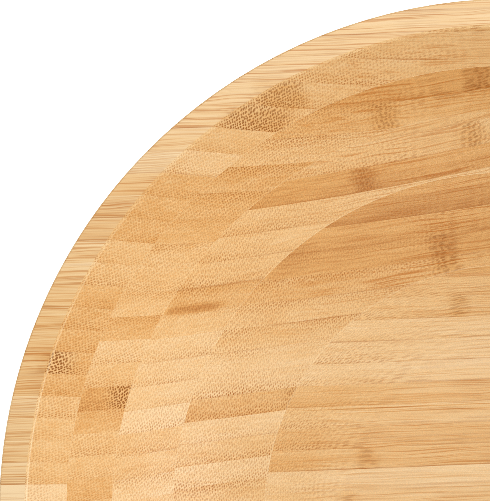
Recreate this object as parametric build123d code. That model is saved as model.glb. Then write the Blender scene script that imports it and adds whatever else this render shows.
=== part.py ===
from build123d import *

import math
import os
from typing import NamedTuple

# Lazy susan turntable: a deep round bamboo dish that turns on a square ball-bearing swivel above
# a bamboo base disc. The dish is five flat boards glued face to face and turned on a lathe, so
# four of them are rings with curved inner and outer walls above a floor board.
# Millimetres, +Z up, origin on the tabletop at the centre of rotation.


class Screw(NamedTuple):
    shank_r: float
    head_r: float
    head_h: float
    length: float


# ---------------------------------------------------------------- driving dimensions
# heights, from the tabletop up
FOOT_HEIGHT = 4.0
BASE_THICKNESS = 12.0
BEARING_HEIGHT = 8.0
BOARD_THICKNESS = 15.0
DISH_DEPTH = 65.7

# dish: its flat floor, then its inner radius at each glue line from the floor board up to the rim
DISH_FLAT_R = 45.1
GLUE_LINE_RADII = (71.4, 97.1, 112.8, 123.6)
RIM_INNER_R = 132.4
RIM_OUTER_R = 140.0
RIM_BAND_HEIGHT = 5.0
RIM_INNER_ROUND = 0.8
RIM_OUTER_ROUND = 0.5
RIM_WALL_SLOPE = (0.47, 0.88)
OUTER_WALL_ARC_R = 150.0
FOOT_RING_R = 80.0
FOOT_RING_ROUND = 2.0

# base disc
BASE_R = 100.0
BASE_ROUND = 3.0
ACCESS_HOLE_R = 8.0

# swivel plates: stamped squares with a ball track between two raised lands
PLATE_SIDE = 101.6
PLATE_CORNER_R = 10.0
SHEET = 1.2
PLATE_HOLE_SPACING = 85.7
PLATE_HOLE_R = 2.2
TRACK_R = 38.0
LAND_OUTER_R = 45.0
LAND_HALF_GAP = 1.2
LAND_RAMP = 3.0
TRACK_CLEARANCE = 0.05
TRACK_ARC_EXTRA = 0.12

# balls and the cage that spaces them
BALL_R = 2.35
BALL_COUNT = 24
CAGE_THICKNESS = 1.2
CAGE_HALF_WIDTH = 5.0
POCKET_CLEARANCE = 0.2

# hollow rivet that holds the two plates together, and the washers it passes through
EYELET_R = 10.0
EYELET_WALL = 1.2
EYELET_FLANGE_R = 14.0
EYELET_FLANGE = 0.8
RUNNING_GAP = 0.08
WASHER_CLEARANCE = 0.1
SPACER_WASHER_R = 17.0
SPACER_WASHER_THICKNESS = 2.3
THRUST_WASHER_R = 15.5
THRUST_WASHER_THICKNESS = 0.4

# pan-head screws
PLATE_SCREW = Screw(shank_r=1.75, head_r=3.6, head_h=2.1, length=7.0)
FOOT_SCREW = Screw(shank_r=1.5, head_r=3.2, head_h=1.7, length=9.0)
SCREW_TIP = 2.0
RECESS_WIDTH = 0.9
RECESS_SPAN = 1.1
RECESS_DEPTH = 0.6

# rubber feet, each with a counterbore that hides its screw
FOOT_R = 9.0
FOOT_TAPER = 1.0
FOOT_EDGE_ROUND = 0.8
FEET_CIRCLE_R = 84.0
FOOT_COUNT = 4
COUNTERBORE_R = 4.0
COUNTERBORE_DEPTH = 2.4

# ---------------------------------------------------------------- derived levels
BASE_BOTTOM = FOOT_HEIGHT
BASE_TOP = BASE_BOTTOM + BASE_THICKNESS
TRAY_BOTTOM = BASE_TOP + BEARING_HEIGHT
BALL_PLANE = (BASE_TOP + TRAY_BOTTOM) / 2
BOARD_NAMES = ("floor_board", "lower_ring_board", "middle_ring_board", "upper_ring_board", "rim_board")
RIM_TOP = TRAY_BOTTOM + BOARD_THICKNESS * len(BOARD_NAMES)
DISH_FLOOR = RIM_TOP - DISH_DEPTH
HOLE_CIRCLE_R = PLATE_HOLE_SPACING / math.sqrt(2)
FLANGE_INNER_R = LAND_OUTER_R + LAND_RAMP
LOWER_LAND_TOP = BALL_PLANE - LAND_HALF_GAP
UPPER_LAND_TOP = BALL_PLANE + LAND_HALF_GAP + SHEET
CLEAR = 1.0


def spun(*edges):
    """A solid of revolution about Z from a closed outline drawn as (radius, height)."""
    return revolve(Plane.XZ * make_face(Sketch() + list(edges)), axis=Axis.Z)


def closed_outline(*points):
    """Straight edges from point to point and back to the first."""
    return [Line(a, b) for a, b in zip(points, points[1:] + points[:1])]


def rod(radius, bottom, top, at=(0.0, 0.0)):
    """An upright cylinder between two heights."""
    return Pos(at[0], at[1], (bottom + top) / 2) * Cylinder(radius, top - bottom)


def washer(inner_r, outer_r, bottom, top):
    """A flat ring about Z."""
    return rod(outer_r, bottom, top) - rod(inner_r, bottom - CLEAR, top + CLEAR)


def around(radius, count, start_deg=0.0):
    """Points evenly spaced on a circle about Z."""
    angles = [math.radians(start_deg + 360.0 * i / count) for i in range(count)]
    return [(radius * math.cos(a), radius * math.sin(a)) for a in angles]


def group(solids):
    """Separate identical solids that share one node."""
    return Compound(children=list(solids))


# ---------------------------------------------------------------- dish
def dish_body():
    """The whole turned dish, before it is split into its boards."""
    flat_end = (DISH_FLAT_R, DISH_FLOOR)
    glue_lines = [
        (radius, TRAY_BOTTOM + BOARD_THICKNESS * (i + 1))
        for i, radius in enumerate(GLUE_LINE_RADII)
    ]
    rim_inner = (RIM_INNER_R, RIM_TOP)
    rim_outer = (RIM_OUTER_R, RIM_TOP)
    band_bottom = (RIM_OUTER_R, RIM_TOP - RIM_BAND_HEIGHT)
    foot_edge = (FOOT_RING_R, TRAY_BOTTOM)
    dish = spun(
        Line((0, DISH_FLOOR), flat_end),
        Spline(flat_end, *glue_lines, rim_inner, tangents=[(1, 0), RIM_WALL_SLOPE]),
        Line(rim_inner, rim_outer),
        Line(rim_outer, band_bottom),
        ThreePointArc(band_bottom, bulged_middle(band_bottom, foot_edge), foot_edge),
        Line(foot_edge, (0, TRAY_BOTTOM)),
        Line((0, TRAY_BOTTOM), (0, DISH_FLOOR)),
    )
    for corner, radius in (
        (rim_inner, RIM_INNER_ROUND),
        (rim_outer, RIM_OUTER_ROUND),
        (foot_edge, FOOT_RING_ROUND),
    ):
        dish = fillet(circle_at(dish, corner), radius)
    return dish


def bulged_middle(top, bottom):
    """Middle point of the outer wall's arc, which bulges away from the axis."""
    run = top[0] - bottom[0]
    rise = top[1] - bottom[1]
    chord = math.hypot(run, rise)
    bulge = OUTER_WALL_ARC_R - math.sqrt(OUTER_WALL_ARC_R**2 - (chord / 2) ** 2)
    return (
        (top[0] + bottom[0]) / 2 + bulge * rise / chord,
        (top[1] + bottom[1]) / 2 - bulge * run / chord,
    )


def circle_at(solid, corner):
    """The circular edge that a drawn (radius, height) corner became."""
    circles = solid.edges().filter_by(GeomType.CIRCLE)
    return min(circles, key=lambda e: math.hypot(e.radius - corner[0], e.arc_center.Z - corner[1]))


def dish_boards():
    """The dish's boards by name, from the floor up."""
    dish = dish_body()
    boards = {}
    for i, name in enumerate(BOARD_NAMES):
        bottom = TRAY_BOTTOM + i * BOARD_THICKNESS
        boards[name] = dish & rod(RIM_OUTER_R + CLEAR, bottom, bottom + BOARD_THICKNESS)
    boards["floor_board"] -= tray_screws()
    return boards


# ---------------------------------------------------------------- screws
def screw(size, at, seat_z, way):
    """A pan-head wood screw with a cross recess. Its head sits on seat_z, and way is +1 when its
    point is up and -1 when it is down."""
    straight = size.length - SCREW_TIP
    dome_edge = (size.head_r * 0.35, -size.head_h)
    dome_side = (size.head_r, -size.head_h * 0.35)
    body = spun(
        Line((0, -size.head_h), dome_edge),
        ThreePointArc(dome_edge, (size.head_r * 0.8, -size.head_h * 0.8), dome_side),
        Line(dome_side, (size.head_r, 0)),
        Line((size.head_r, 0), (size.shank_r, 0)),
        Line((size.shank_r, 0), (size.shank_r, straight)),
        Line((size.shank_r, straight), (0, size.length)),
        Line((0, size.length), (0, -size.head_h)),
    )
    depth = size.head_h * RECESS_DEPTH
    arm = Pos(0, 0, depth / 2 - size.head_h) * Box(size.head_r * RECESS_SPAN, RECESS_WIDTH, depth)
    body -= arm
    body -= Rot(0, 0, 90) * arm
    if way < 0:
        body = Rot(180, 0, 0) * body
    return Pos(at[0], at[1], seat_z) * body


def tray_screws():
    """The screws that hold the upper plate to the floor board."""
    places = around(HOLE_CIRCLE_R, 4)
    return group(screw(PLATE_SCREW, at, TRAY_BOTTOM - SHEET, 1) for at in places)


def base_screws():
    """The screws that hold the lower plate to the base disc."""
    places = around(HOLE_CIRCLE_R, 4, 45)
    return group(screw(PLATE_SCREW, at, BASE_TOP + SHEET, -1) for at in places)


def foot_screws():
    """The screws that hold the rubber feet."""
    return group(screw(FOOT_SCREW, at, COUNTERBORE_DEPTH, 1) for at in feet_places())


# ---------------------------------------------------------------- swivel
def stamped_middle():
    """The lower plate's pressed middle, from its hole to its flat flange. The track is an arc that
    just clears the balls."""
    inside_r = BALL_R + TRACK_ARC_EXTRA
    outside_r = inside_r + SHEET
    centre_z = BALL_PLANE + TRACK_ARC_EXTRA - TRACK_CLEARANCE
    land_bottom = LOWER_LAND_TOP - SHEET
    inside_half = math.sqrt(inside_r**2 - (centre_z - LOWER_LAND_TOP) ** 2)
    outside_half = math.sqrt(outside_r**2 - (centre_z - land_bottom) ** 2)
    ramp_shift = SHEET * 0.45
    upper = [
        (TRACK_R - inside_half, LOWER_LAND_TOP),
        (TRACK_R + inside_half, LOWER_LAND_TOP),
    ]
    lower = [
        (TRACK_R + outside_half, land_bottom),
        (TRACK_R - outside_half, land_bottom),
    ]
    return spun(
        Line((EYELET_R, LOWER_LAND_TOP), upper[0]),
        ThreePointArc(upper[0], (TRACK_R, centre_z - inside_r), upper[1]),
        Line(upper[1], (LAND_OUTER_R, LOWER_LAND_TOP)),
        Line((LAND_OUTER_R, LOWER_LAND_TOP), (FLANGE_INNER_R, BASE_TOP + SHEET)),
        Line((FLANGE_INNER_R, BASE_TOP + SHEET), (FLANGE_INNER_R, BASE_TOP)),
        Line((FLANGE_INNER_R, BASE_TOP), (FLANGE_INNER_R - ramp_shift, BASE_TOP)),
        Line((FLANGE_INNER_R - ramp_shift, BASE_TOP), (LAND_OUTER_R - ramp_shift, land_bottom)),
        Line((LAND_OUTER_R - ramp_shift, land_bottom), lower[0]),
        ThreePointArc(lower[0], (TRACK_R, centre_z - outside_r), lower[1]),
        Line(lower[1], (EYELET_R, land_bottom)),
        Line((EYELET_R, land_bottom), (EYELET_R, LOWER_LAND_TOP)),
    )


def lower_swivel_plate():
    """The lower plate, square to X and Y."""
    square = RectangleRounded(PLATE_SIDE, PLATE_SIDE, PLATE_CORNER_R)
    plate = extrude(Pos(0, 0, BASE_TOP) * square, SHEET)
    plate -= rod(FLANGE_INNER_R, BASE_TOP - CLEAR, BASE_TOP + SHEET + CLEAR)
    plate += stamped_middle()
    for at in around(HOLE_CIRCLE_R, 4, 45):
        plate -= rod(PLATE_HOLE_R, BASE_TOP - CLEAR, BASE_TOP + SHEET + CLEAR, at)
    return plate


def upper_swivel_plate():
    """The same stamping turned over and an eighth of a turn round, free to run on the eyelet."""
    turned = Rot(0, 0, 45) * Rot(180, 0, 0) * lower_swivel_plate()
    raised = Pos(0, 0, 2 * BALL_PLANE) * turned
    return raised - rod(EYELET_R + RUNNING_GAP, BALL_PLANE, TRAY_BOTTOM)


def bearing_balls():
    """The ring of balls between the two tracks."""
    places = around(TRACK_R, BALL_COUNT)
    return group(Pos(x, y, BALL_PLANE) * Sphere(BALL_R) for x, y in places)


def ball_cage():
    """A flat ring with a pocket round each ball."""
    bottom = BALL_PLANE - CAGE_THICKNESS / 2
    top = BALL_PLANE + CAGE_THICKNESS / 2
    ring = washer(TRACK_R - CAGE_HALF_WIDTH, TRACK_R + CAGE_HALF_WIDTH, bottom, top)
    for at in around(TRACK_R, BALL_COUNT):
        ring -= rod(BALL_R + POCKET_CLEARANCE, bottom - CLEAR, top + CLEAR, at)
    return ring


def centre_eyelet():
    """A tube with one flange under the lower plate and one above the thrust washer."""
    lower_seat = LOWER_LAND_TOP - SHEET
    upper_seat = UPPER_LAND_TOP + THRUST_WASHER_THICKNESS + RUNNING_GAP
    bottom = lower_seat - EYELET_FLANGE
    top = upper_seat + EYELET_FLANGE
    outside = rod(EYELET_R, bottom, top)
    outside += rod(EYELET_FLANGE_R, bottom, lower_seat)
    outside += rod(EYELET_FLANGE_R, upper_seat, top)
    return outside - rod(EYELET_R - EYELET_WALL, bottom - CLEAR, top + CLEAR)


def spacer_washer():
    """The washer that lies on the lower plate and keeps the plates apart at the middle."""
    top = LOWER_LAND_TOP + SPACER_WASHER_THICKNESS
    return washer(EYELET_R + WASHER_CLEARANCE, SPACER_WASHER_R, LOWER_LAND_TOP, top)


def thrust_washer():
    """The thin washer that lies on the upper plate under the eyelet's flange."""
    top = UPPER_LAND_TOP + THRUST_WASHER_THICKNESS
    return washer(EYELET_R + WASHER_CLEARANCE, THRUST_WASHER_R, UPPER_LAND_TOP, top)


# ---------------------------------------------------------------- base
def base_disc():
    """The bamboo disc under the swivel, with the hole that a screwdriver reaches through."""
    disc = rod(BASE_R, BASE_BOTTOM, BASE_TOP)
    disc = fillet(disc.edges().filter_by(GeomType.CIRCLE), BASE_ROUND)
    at = (HOLE_CIRCLE_R, 0)
    disc -= rod(ACCESS_HOLE_R, BASE_BOTTOM - CLEAR, BASE_TOP + CLEAR, at)
    disc -= base_screws()
    return disc - foot_screws()


def feet_places():
    return around(FEET_CIRCLE_R, FOOT_COUNT, 45)


def rubber_foot(at):
    """A tapered round foot with a counterbore for its screw."""
    tip_r = FOOT_R - FOOT_TAPER
    foot = spun(*closed_outline((0, 0), (tip_r, 0), (FOOT_R, FOOT_HEIGHT), (0, FOOT_HEIGHT)))
    foot = fillet(circle_at(foot, (tip_r, 0)), FOOT_EDGE_ROUND)
    foot -= rod(COUNTERBORE_R, -CLEAR, COUNTERBORE_DEPTH)
    foot -= rod(FOOT_SCREW.shank_r, 0, FOOT_HEIGHT + CLEAR)
    return Pos(at[0], at[1], 0) * foot


# ---------------------------------------------------------------- build
def nodes():
    """Every node's name and shape."""
    made = dish_boards()
    pieces = (
        lower_swivel_plate,
        upper_swivel_plate,
        bearing_balls,
        ball_cage,
        centre_eyelet,
        spacer_washer,
        thrust_washer,
        base_disc,
        tray_screws,
        base_screws,
        foot_screws,
    )
    for piece in pieces:
        made[piece.__name__] = piece()
    for i, at in enumerate(feet_places(), start=1):
        made[f"rubber_foot_{i}"] = rubber_foot(at)
    return made


os.makedirs("parts", exist_ok=True)
for name, shape in nodes().items():
    export_step(shape, f"parts/{name}.step")
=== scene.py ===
import math
import random
from typing import NamedTuple

import bpy
from mathutils import Matrix, Vector

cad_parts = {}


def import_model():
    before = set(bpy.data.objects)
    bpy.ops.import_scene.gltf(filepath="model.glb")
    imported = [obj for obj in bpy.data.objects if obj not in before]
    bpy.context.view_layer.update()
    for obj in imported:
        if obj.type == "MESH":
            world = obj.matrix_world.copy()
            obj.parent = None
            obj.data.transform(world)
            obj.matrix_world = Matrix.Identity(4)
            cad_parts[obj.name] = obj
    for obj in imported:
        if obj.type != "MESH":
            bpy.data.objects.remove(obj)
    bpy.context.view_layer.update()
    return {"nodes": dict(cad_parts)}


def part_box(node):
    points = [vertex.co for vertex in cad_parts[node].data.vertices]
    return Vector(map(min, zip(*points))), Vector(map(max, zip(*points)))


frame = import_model()
MM = 0.001
RIM_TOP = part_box("rim_board")[1].z


# ---------------------------------------------------------------- node helpers
def linear(r, g, b):
    """An sRGB colour out of 255 as the linear RGBA that Blender takes."""
    values = [c / 255 for c in (r, g, b)]
    return [v / 12.92 if v <= 0.04045 else ((v + 0.055) / 1.055) ** 2.4 for v in values] + [1.0]


class Tree:
    """Short calls for building one material's nodes. Inputs are sockets, numbers or tuples."""

    def __init__(self, name):
        self.material = bpy.data.materials.new(name)
        self.material.use_nodes = True
        self.nodes = self.material.node_tree.nodes
        self.links = self.material.node_tree.links
        self.nodes.clear()
        self.shader = self.nodes.new("ShaderNodeBsdfPrincipled")
        output = self.nodes.new("ShaderNodeOutputMaterial")
        self.links.new(self.shader.outputs["BSDF"], output.inputs["Surface"])

    def plug(self, value, socket):
        if isinstance(value, bpy.types.NodeSocket):
            self.links.new(value, socket)
        else:
            socket.default_value = value

    def add(self, kind, inputs=(), **settings):
        node = self.nodes.new("ShaderNode" + kind)
        for key, value in settings.items():
            setattr(node, key, value)
        for key, value in dict(inputs).items():
            self.plug(value, node.inputs[key])
        return node

    def math(self, operation, a, b=0.0, c=0.0):
        node = self.add("Math", operation=operation)
        for socket, value in zip(node.inputs, (a, b, c)):
            self.plug(value, socket)
        return node.outputs[0]

    def plus(self, a, b):
        return self.math("ADD", a, b)

    def minus(self, a, b):
        return self.math("SUBTRACT", a, b)

    def times(self, a, b):
        return self.math("MULTIPLY", a, b)

    def times_plus(self, a, b, c):
        return self.math("MULTIPLY_ADD", a, b, c)

    def over(self, a, b):
        return self.math("DIVIDE", a, b)

    def absolute(self, a):
        return self.math("ABSOLUTE", a)

    def vector(self, x, y, z):
        return self.add("CombineXYZ", {"X": x, "Y": y, "Z": z}).outputs[0]

    def split(self, vector):
        return self.add("SeparateXYZ", {"Vector": vector}).outputs

    def fade(self, value, low, high, to_low=0.0, to_high=1.0):
        """Smooth change from to_low, where value is low, to to_high."""
        inputs = {"Value": value, "From Min": low, "From Max": high}
        inputs.update({"To Min": to_low, "To Max": to_high})
        return self.add("MapRange", inputs, interpolation_type="SMOOTHSTEP").outputs["Result"]

    def noise(self, vector, scale=1.0, detail=2.0, roughness=0.5):
        inputs = {"Vector": vector, "Scale": scale, "Detail": detail, "Roughness": roughness}
        return self.add("TexNoise", inputs).outputs["Fac"]

    # The Mix node has sockets of the same name for each type of data, so they go by number.
    def mix(self, factor, a, b):
        """Colour a where factor is 0, b where it is 1."""
        return self.add("Mix", {0: factor, 6: a, 7: b}, data_type="RGBA").outputs[2]

    def choose(self, factor, a, b):
        """Number a where factor is 0, b where it is 1."""
        return self.add("Mix", {0: factor, 2: a, 3: b}, data_type="FLOAT").outputs[0]

    def ramp(self, value, stops, interpolation="LINEAR"):
        node = self.add("ValToRGB", {"Fac": value})
        node.color_ramp.interpolation = interpolation
        elements = node.color_ramp.elements
        while len(elements) > 1:
            elements.remove(elements[-1])
        elements[0].position, elements[0].color = stops[0]
        for position, colour in stops[1:]:
            elements.new(position).color = colour
        return node.outputs["Color"]

    def bump(self, height, distance, strength=1.0):
        inputs = {"Height": height, "Distance": distance, "Strength": strength}
        self.links.new(self.add("Bump", inputs).outputs[0], self.shader.inputs["Normal"])

    def finish(self, **sockets):
        """Sets the shader's own sockets, such as Roughness=0.4."""
        for name, value in sockets.items():
            self.plug(value, self.shader.inputs[name.replace("_", " ")])
        return self.material


# ---------------------------------------------------------------- bamboo
# colour by tone: 0 is the palest, 1 the darkest
BAMBOO_TONES = [
    (0.0, linear(241, 210, 163)),
    (0.35, linear(233, 193, 136)),
    (0.65, linear(222, 171, 106)),
    (1.0, linear(188, 127, 66)),
]
FIBRE = linear(166, 96, 30)
NODE_FIBRE = linear(136, 74, 14)
VEIN = linear(186, 106, 20)
PALE = linear(252, 228, 182)  # dry glue, and the painted highlight along rounded lips

# the letters of a board's tones: pale, light, honey, caramel, dark and brown
TONE = {"p": 0.05, "l": 0.22, "h": 0.38, "c": 0.54, "d": 0.7, "b": 0.8}

STRIPS_EACH_WAY = 24  # from a board's middle to past its edge
USUAL_TONE = 0.4
TONE_SPREAD = 0.12
FURTHEST_NODE = 130.0  # mm either way along a strip, where a culm node isn't given
NODE_CLEARANCE = 15.0  # mm, moves such a node further towards +X if its strip's tone is given
STRIP_SHIFT = 17.37  # keeps the noise of one strip apart from the next one's
NODE_RANGE = 300.0  # mm of a strip's length within which its culm node lies
REACH_RANGE = 40.0  # mm, over twice the half length of the longest culm node
SHORT_REACH = 1.5  # mm, half length of a culm node that isn't given
FLIPPED = 0.5  # added to a strip's reach to tell that it is the other way round


class Board(NamedTuple):
    """How the bamboo of one board lies. Lengths are in mm."""

    seed: int
    angle: float  # degrees from X to the fibres
    phase: float  # where two strips meet, counted across from the middle
    rise: float  # height from one row of bundles to the next
    tones: str = ""  # a letter for each strip from the middle towards +Y; see TONE
    culm_nodes: tuple = ()  # (strip, place along it, half length)
    marks: tuple = ()  # dark spots: (along, across, half length, half width, depth)
    wall: tuple = ()  # the inner wall's radius, and the step along the fibres from row to row
    strip: float = 6.25  # thickness of a strip
    bundle_width: float = 0.72  # across a strip, from one column of bundles to the next
    fibre_depth: float = 0.85  # how much the bundles darken the wood, 0 to 1
    vein_depth: float = 0.6  # the same for bundles that run along the surface
    lip_highlight_depth: float = 0.0  # how deep below its upper face the painted highlight of its rounded lip reaches
    glued: bool = True  # stands on another board


# In tones, a capital has its culm's outside, where the fibres crowd, on the +Y side.
# The dark letters at the +Y end of the ring boards' tones, where their strips reach the far inner
# wall, are partly the strips' own tone and partly painted shade of that wall.
BOARDS = {
    "rim_board": Board(
        seed=11, angle=1.5, strip=6.1, phase=3.25, rise=1.25, wall=(128, 0.74), lip_highlight_depth=0.7,
        tones="phhhhccccchhccclhhhhhhhh",
        culm_nodes=((6, -124, 3), (17, -67, 8), (18, -60, 6)),
        marks=((-58, 115.2, 8, 4, 0.15), (-65, 109.5, 11, 3.5, 0.12)),
    ),
    "upper_ring_board": Board(
        seed=12, angle=8.0, phase=5.5, rise=1.0, wall=(118, 0.74),
        tones="hcchhCdhlCHhHCCCHCdd",
        culm_nodes=((6, -103, 4), (17, -19, 3), (18, 9, 3)),
    ),
    "middle_ring_board": Board(
        seed=13, angle=11.25, phase=4.0, rise=0.72, wall=(105, 0.66),
        tones="hhhLhhplllHChhhdhhc",
        culm_nodes=((15, -22, 2.5), (16, 11, 2.5)),
        marks=((-77, 73.6, 11, 1.8, 0.38),),
        bundle_width=1.0, fibre_depth=0.76,
    ),
    "lower_ring_board": Board(
        seed=14, angle=8.75, phase=0.75, rise=0.48, wall=(84, 0.7),
        tones="hhHlhlclLHHCDdbDd",
        culm_nodes=((6, -57, 2.5), (11, -7, 3), (12, -7, 3)),
        bundle_width=1.05, fibre_depth=0.88,
    ),
    "floor_board": Board(
        seed=15, angle=2.5, phase=0.75, rise=0.25, glued=False,
        tones="hlcchclllhhc",
        culm_nodes=((0, -47, 2), (2, -41, 2), (9, -12, 2)),
        marks=((-28, 31.1, 40, 0.28, 0.5), (-22, 29.9, 34, 0.24, 0.4)),
        bundle_width=1.3, fibre_depth=0.7, vein_depth=0.4,
    ),
    "base_disc": Board(seed=16, angle=-4.0, phase=1.0, rise=0.9, glued=False),
}


def strip_facts(board):
    """Tone, place of the culm node, and its reach with FLIPPED, each between 0 and 1: first for the
    strips from the board's middle towards +Y, then for those towards -Y."""
    rng = random.Random(board.seed)
    given_nodes = {strip: (place, reach) for strip, place, reach in board.culm_nodes}
    sides = []
    for given_tones in (board.tones, ""):
        strips = []
        for i in range(STRIPS_EACH_WAY):
            tone = min(max(rng.gauss(USUAL_TONE, TONE_SPREAD), 0.05), 0.95)
            node = rng.uniform(-FURTHEST_NODE, FURTHEST_NODE)
            reach = SHORT_REACH
            flipped = rng.random() < 0.5
            if i < len(given_tones):
                tone = TONE[given_tones[i].lower()]
                node, reach = given_nodes.get(i, (abs(node) + NODE_CLEARANCE, SHORT_REACH))
                flipped = given_tones[i].isupper()
            strips.append((tone, 0.5 + node / NODE_RANGE, reach / REACH_RANGE + FLIPPED * flipped))
        sides.append(strips)
    return sides


class Bamboo(Tree):
    """Side-pressed bamboo, solid through and through: each strip shows dots where the surface cuts
    its fibres across, and long veins where it runs with them."""

    def __init__(self, name, board, bottom, top):
        super().__init__(name)
        self.board = board
        self.bottom = bottom
        self.top = top
        self.find_place()
        self.lay_strips()
        self.grow_culm_node()
        self.grow_bundles()
        self.grow_streaks()

    def by_fibres(self, vector):
        """A vector's parts along the fibres, across them and up."""
        turn = {"Vector": vector, "Angle": math.radians(-self.board.angle)}
        return self.split(self.add("VectorRotate", turn, rotation_type="Z_AXIS").outputs[0])

    def find_place(self):
        """Where a point is, in mm, and how the surface there meets the fibres."""
        place = self.add("TexCoord").outputs
        self.along, self.across, self.up = [
            self.times(part, 1 / MM) for part in self.by_fibres(place["Object"])
        ]
        facing_along, _, self.facing_up = self.by_fibres(place["Normal"])
        self.facing_along = self.absolute(facing_along)
        self.end_grain = self.fade(self.facing_along, 0.15, 0.75)
        self.flat = self.fade(self.facing_up, 0.97, 0.996)

    def facts_ramp(self, strips_out, strips):
        stops = [(i / STRIPS_EACH_WAY, (*facts, 1.0)) for i, facts in enumerate(strips)]
        return self.ramp(self.over(strips_out, STRIPS_EACH_WAY), stops, "CONSTANT")

    def lay_strips(self):
        """Which strip a point is in, how far in from its culm's outside, and the strip's facts."""
        self.strips_out = self.over(self.minus(self.across, self.board.phase), self.board.strip)
        self.index = self.math("FLOOR", self.strips_out)
        self.shift = self.times(self.index, STRIP_SHIFT)
        strips_ahead, strips_behind = strip_facts(self.board)
        ahead = self.facts_ramp(self.plus(self.index, 0.5), strips_ahead)
        behind = self.facts_ramp(self.minus(-0.5, self.index), strips_behind)
        is_behind = self.math("LESS_THAN", self.index, -0.5)
        self.strip_tone, node_place, packed = self.split(self.mix(is_behind, ahead, behind))
        self.node_at = self.times(self.minus(node_place, 0.5), NODE_RANGE)
        self.node_reach = self.times(self.math("MODULO", packed, FLIPPED), REACH_RANGE)
        self.flipped = self.math("GREATER_THAN", packed, FLIPPED)
        within = self.minus(self.strips_out, self.index)
        self.inward = self.choose(self.flipped, within, self.minus(1.0, within))

    def stretched(self, along, across, up):
        """Noise coordinates with these scales per mm, different in every strip."""
        return self.vector(
            self.times(self.along, along),
            self.plus(self.times(self.across, across), self.shift),
            self.times(self.up, up),
        )

    def grow_culm_node(self):
        """Fibres swirl and darken within a few millimetres of a culm's node."""
        off = self.absolute(self.minus(self.along, self.node_at))
        ragged_at = self.vector(
            self.times(self.along, 0.4), self.times(self.across, 0.6), self.times(self.up, 0.4)
        )
        ragged = self.times(self.noise(ragged_at), 4.0)
        past_reach = self.minus(self.plus(off, ragged), self.node_reach)
        self.near_node = self.fade(past_reach, 0.0, 5.0, 1.0, 0.0)
        turbulence = self.minus(self.noise(self.stretched(0.35, 0.5, 0.5), detail=1.0), 0.5)
        self.swirl = self.times(turbulence, self.times_plus(self.near_node, 1.3, 0.2))

    def bundle_row(self):
        """Rows go by height. On an inner wall they go by the place along the fibres, and are
        further apart where the wall runs with them."""
        row = self.over(self.minus(self.top, self.up), self.board.rise)
        if not self.board.wall:
            return row
        radius, step = self.board.wall
        far = self.math("SQRT", self.times_plus(self.along, self.along, radius * radius / 4))
        signed_square = self.times(self.along, self.absolute(self.along))
        cut_along = self.over(signed_square, self.times(far, step))
        on_wall = self.math("COMPARE", self.facing_up, 0.5, 0.47)
        return self.choose(on_wall, row, cut_along)

    def grow_bundles(self):
        """Fibre bundles in leaning rows and columns, closest at the culm's outside."""
        drift = self.times(self.minus(self.noise(self.stretched(0.025, 0.06, 0.06)), 0.5), 3.0)
        row = self.plus(self.plus(self.bundle_row(), 0.5), self.times(self.index, 7.0))
        row = self.plus(row, self.plus(self.swirl, drift))
        packed = self.times(self.inward, self.times_plus(self.inward, -0.25, 1.25))
        lean = self.times_plus(row, self.minus(self.flipped, 0.5), self.swirl)
        column = self.times(packed, self.board.strip / self.board.bundle_width)
        column = self.plus(column, self.plus(self.shift, lean))
        cells = {"Vector": self.vector(column, row, 0.0), "Scale": 1.0, "Randomness": 0.38}
        bundles = self.add("TexVoronoi", cells, voronoi_dimensions="2D")
        self.distance = bundles.outputs["Distance"]
        darkness = self.times_plus(self.split(bundles.outputs["Color"])[0], 0.4, 0.6)
        bundle = self.times(self.fade(self.distance, 0.2, 0.43, 1.0, 0.0), darkness)

        patches = self.noise(self.stretched(0.03, 0.05, 0.05), detail=1.0)
        self.thinned = self.fade(patches, 0.3, 0.65, 0.5, 1.1)
        crowding = self.times(self.fade(self.inward, 0.0, 0.6, 1.0, 0.5), self.thinned)
        # dots are clearest where the surface cuts the fibres at a slant
        slanted = self.fade(self.facing_along, 0.05, 0.4, 0.58, 1.0)
        slanted = self.times(slanted, self.fade(self.facing_along, 0.4, 0.75, 1.0, 0.75))
        self.fibre = self.times(self.times(bundle, crowding), slanted)

    def grow_streaks(self):
        """Long fine streaks that waver a little across the strip."""
        waver = self.noise(self.stretched(0.05, 0.2, 0.2), detail=1.0)
        waved = self.times_plus(waver, 2.0, self.across)
        streak_at = self.vector(
            self.times(self.along, 0.03),
            self.plus(self.times(waved, 2.6), self.shift),
            self.times(self.up, 0.3),
        )
        self.streaks = self.noise(streak_at)

    def mark(self, along, across, half_length, half_width, depth):
        """A dark spot that fades from its middle to an ellipse."""
        off_along = self.over(self.minus(self.along, along), half_length)
        off_across = self.over(self.minus(self.across, across), half_width)
        off = self.plus(self.times(off_along, off_along), self.times(off_across, off_across))
        return self.fade(off, 0.0, 1.0, depth, 0.0)

    def tone(self):
        """The wood between the bundles, from 0, palest, to 1."""
        broad = self.noise(self.stretched(0.012, 0.35, 0.2))
        streak_depth = self.times_plus(self.flat, 0.4, 0.5)
        node_depth = self.times_plus(self.end_grain, -0.28, 0.16)
        halo = self.fade(self.distance, 0.25, 0.6, 0.06, -0.06)
        tone = self.plus(self.strip_tone, self.times(self.minus(broad, 0.5), 0.3))
        tone = self.plus(tone, self.times(self.minus(0.5, self.inward), 0.1))
        tone = self.plus(tone, self.times(self.minus(self.streaks, 0.5), streak_depth))
        tone = self.plus(tone, self.times(self.near_node, node_depth))
        # painted light: faces that look up are painted a little paler, as if lit more from above
        tone = self.plus(tone, self.times(self.flat, -0.06))
        tone = self.plus(tone, self.times(halo, self.end_grain))
        for mark in self.board.marks:
            tone = self.plus(tone, self.mark(*mark))
        return tone

    def knots(self):
        """How much a culm node darkens the middle of each bundle."""
        depth = self.times_plus(self.end_grain, 0.5, self.times_plus(self.flat, -0.15, 0.35))
        middles = self.fade(self.distance, 0.22, 0.5, 1.0, 0.0)
        return self.times(middles, self.times(self.near_node, depth))

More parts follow.
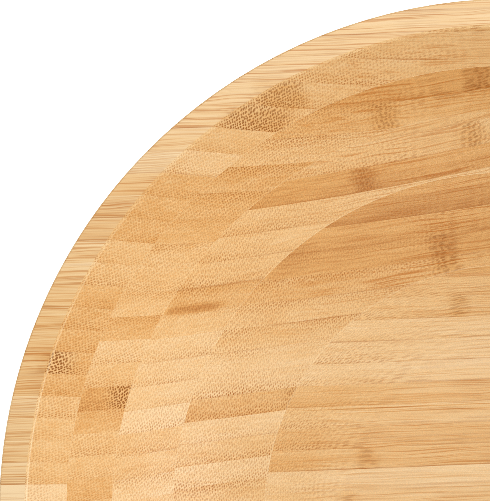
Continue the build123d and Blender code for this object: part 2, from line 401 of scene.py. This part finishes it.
    def veins(self):
        """Bundles that run along the surface, strongest in dark strips."""
        running = self.fade(self.facing_along, 0.05, 0.4, self.board.vein_depth, 0.0)
        in_strip = self.times(self.thinned, self.fade(self.strip_tone, 0.1, 0.5, 0.35, 1.0))
        return self.times(self.times(self.fade(self.streaks, 0.53, 0.66), running), in_strip)

    def rind(self):
        """What is left of the culm's skin along each strip's outer edge."""
        left_at = self.vector(
            self.times(self.along, 0.03),
            self.times(self.math("ROUND", self.strips_out), 3.3),
            self.times(self.up, 0.03),
        )
        left = self.fade(self.noise(left_at), 0.4, 0.7, 0.05, 0.65)
        edge = self.times(self.fade(self.inward, 0.0, 0.09, 1.0, 0.0), left)
        return self.times(edge, self.times_plus(self.end_grain, -0.65, 0.9))

    def glue_line(self):
        """Dry glue that shows as a pale line under the board."""
        return self.fade(self.minus(self.up, self.bottom), 0.03, 0.25, 0.25, 0.0)

    def painted_lip_highlight(self):
        """Painted highlight: a pale band just below the board's upper face, where its rounded lip
        faces along the fibres.
        """
        lip_highlight_depth = self.board.lip_highlight_depth
        depth = self.minus(self.top, self.up)
        below_top = self.fade(depth, 0.01, 0.06)
        edge = self.times(below_top, self.fade(depth, lip_highlight_depth / 2, lip_highlight_depth, 0.4, 0.0))
        return self.times(edge, self.fade(self.facing_along, 0.4, 0.8))

    def dressed(self):
        """The finished material, with a satin coat of oil."""
        colour = self.ramp(self.tone(), BAMBOO_TONES)
        colour = self.mix(self.times(self.fibre, self.board.fibre_depth), colour, FIBRE)
        colour = self.mix(self.knots(), colour, NODE_FIBRE)
        colour = self.mix(self.veins(), colour, VEIN)
        colour = self.mix(self.rind(), colour, FIBRE)
        if self.board.glued:
            colour = self.mix(self.glue_line(), colour, PALE)
        # a pale band painted as the highlight along the rim's rounded inner lip
        if self.board.lip_highlight_depth:
            colour = self.mix(self.painted_lip_highlight(), colour, PALE)
        relief = self.minus(self.times(self.streaks, 0.3), self.times(self.fibre, 0.5))
        self.bump(relief, distance=0.06 * MM, strength=0.2)
        roughness = self.plus(self.times(self.streaks, 0.16), self.times_plus(self.fibre, 0.12, 0.3))
        return self.finish(
            Base_Color=colour,
            Roughness=roughness,
            Specular_IOR_Level=0.2,
            Coat_Weight=0.15,
            Coat_Roughness=0.2,
        )


def dress(node, material):
    """Gives a CAD node its only material."""
    mesh = frame["nodes"][node].data
    mesh.materials.clear()
    mesh.materials.append(material)


for node, board in BOARDS.items():
    low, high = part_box(node)
    dress(node, Bamboo(f"{node}_bamboo", board, low.z / MM, high.z / MM).dressed())


# ---------------------------------------------------------------- steel, nylon and rubber
def steel(name, colour, roughness):
    """Bright steel with a fine grain and a few dull patches."""
    t = Tree(name)
    place = t.add("TexCoord").outputs["Object"]
    patches = t.noise(place, scale=120.0, detail=3.0)
    grain = t.noise(place, scale=1500.0)
    dull = linear(*[c * 0.86 for c in colour])
    t.bump(grain, distance=0.03 * MM, strength=0.3)
    return t.finish(
        Base_Color=t.mix(t.fade(patches, 0.35, 0.7), linear(*colour), dull),
        Roughness=t.plus(t.times(patches, 0.15), t.times_plus(grain, 0.1, roughness)),
        Metallic=1.0,
    )


def nylon(name):
    """Natural nylon: milky, slightly uneven."""
    t = Tree(name)
    place = t.add("TexCoord").outputs["Object"]
    cloud = t.noise(place, scale=90.0)
    grain = t.noise(place, scale=1800.0, detail=1.0)
    colour = t.mix(cloud, linear(232, 229, 215), linear(220, 215, 198))
    t.bump(grain, distance=0.02 * MM, strength=0.25)
    return t.finish(Base_Color=colour, Roughness=t.times_plus(grain, 0.15, 0.35))


def rubber(name):
    """Moulded rubber with a fine matt grain and dust."""
    t = Tree(name)
    place = t.add("TexCoord").outputs["Object"]
    grain = t.noise(place, scale=2200.0)
    dust = t.fade(t.noise(place, scale=160.0, detail=4.0, roughness=0.7), 0.5, 0.75)
    colour = t.mix(t.times(dust, 0.35), linear(34, 34, 35), linear(84, 80, 74))
    t.bump(grain, distance=0.06 * MM, strength=0.4)
    return t.finish(Base_Color=colour, Roughness=t.times_plus(grain, 0.2, 0.62))


ZINC = steel("zinc_plate", colour=(205, 207, 208), roughness=0.32)
SCREW_STEEL = steel("screw_steel", colour=(196, 196, 190), roughness=0.25)
BALL_STEEL = steel("ball_steel", colour=(215, 216, 218), roughness=0.06)
NYLON = nylon("natural_nylon")
RUBBER = rubber("moulded_rubber")
HARDWARE = {
    "lower_swivel_plate": ZINC,
    "upper_swivel_plate": ZINC,
    "centre_eyelet": ZINC,
    "tray_screws": SCREW_STEEL,
    "base_screws": SCREW_STEEL,
    "foot_screws": SCREW_STEEL,
    "bearing_balls": BALL_STEEL,
    "ball_cage": NYLON,
    "spacer_washer": NYLON,
    "thrust_washer": NYLON,
    "rubber_foot_1": RUBBER,
    "rubber_foot_2": RUBBER,
    "rubber_foot_3": RUBBER,
    "rubber_foot_4": RUBBER,
}
for node, material in HARDWARE.items():
    dress(node, material)


# ---------------------------------------------------------------- stage
STUDIO_RADIUS = 4.0
STUDIO_WHITE = Tree("studio_white").finish(
    Base_Color=linear(250, 250, 250),
    Roughness=0.9,
    Emission_Color=(1, 1, 1, 1),
    Emission_Strength=0.8,
)


def studio_surface(name, corners, faces):
    """A white surface of the studio. It lights no matt surface, as it would make the object's
    underside too bright."""
    mesh = bpy.data.meshes.new(name)
    mesh.from_pydata(corners, [], faces)
    mesh.materials.append(STUDIO_WHITE)
    obj = bpy.data.objects.new(name, mesh)
    obj.visible_diffuse = False
    bpy.context.scene.collection.objects.link(obj)
    return obj


def floor():
    """Pale and plain, far wider than the view."""
    half = STUDIO_RADIUS
    corners = [(-half, -half, 0), (half, -half, 0), (half, half, 0), (-half, half, 0)]
    studio_surface("floor", corners, [(0, 1, 2, 3)])


def backdrop():
    """A low round wall that hides the horizon and lets all light through."""
    sides = 48
    height = 2.0
    radius = 0.97 * STUDIO_RADIUS
    turns = [2 * math.pi * i / sides for i in range(sides)]
    ring = [(radius * math.cos(a), radius * math.sin(a)) for a in turns]
    corners = [(x, y, 0) for x, y in ring] + [(x, y, height) for x, y in ring]
    faces = [(i, (i + 1) % sides, sides + (i + 1) % sides, sides + i) for i in range(sides)]
    wall = studio_surface("backdrop", corners, faces)
    wall.visible_glossy = False
    wall.visible_shadow = False


def world():
    data = bpy.data.worlds.new("studio")
    data.use_nodes = True
    background = data.node_tree.nodes["Background"]
    background.inputs["Color"].default_value = (1, 1, 1, 1)
    background.inputs["Strength"].default_value = 0.6
    bpy.context.scene.world = data


def aimed(place, target, roll=0.0):
    """The matrix of a camera or light at place that looks at target, with +Y up in its picture."""
    forward = (Vector(target) - Vector(place)).normalized()
    right = forward.cross(Vector((0, 1, 0))).normalized()
    up = right.cross(forward)
    turn = Matrix((right, up, -forward)).transposed().to_4x4()
    return Matrix.Translation(place) @ turn @ Matrix.Rotation(roll, 4, "Z")


def softbox(name, place, target, size, power):
    light = bpy.data.lights.new(name, "AREA")
    light.shape = "RECTANGLE"
    light.size, light.size_y = size
    light.energy = power
    obj = bpy.data.objects.new(name, light)
    obj.matrix_world = aimed(place, target)
    bpy.context.scene.collection.objects.link(obj)
    return obj


def camera():
    """Over the axis of rotation, aimed at the upper left of the rim."""
    height = 0.75
    target = (-0.07208, 0.07045, RIM_TOP)
    data = bpy.data.cameras.new("camera")
    data.lens = 197.08
    data.clip_start = 0.01
    obj = bpy.data.objects.new("camera", data)
    obj.matrix_world = aimed((0, 0, RIM_TOP + height), target, roll=0.0044)
    bpy.context.scene.collection.objects.link(obj)
    bpy.context.scene.camera = obj


floor()
backdrop()
world()
softbox("overhead", place=(-0.05, 0.55, 1.5), target=(0, 0, 0), size=(0.7, 0.5), power=7.5)
softbox("right_side", place=(1.3, 0, 0.6), target=(0, 0, 0.08), size=(0.7, 0.6), power=6.5)
front = softbox("front", place=(0.3, -1.3, 0.6), target=(0, 0, 0.08), size=(0.7, 0.6), power=4)
front.visible_glossy = False
camera()

bpy.context.scene.view_settings.view_transform = "Standard"
# a denoiser and a wide pixel filter would both smear the fibres
bpy.context.scene.cycles.use_denoising = False
bpy.context.scene.cycles.filter_width = 0.8
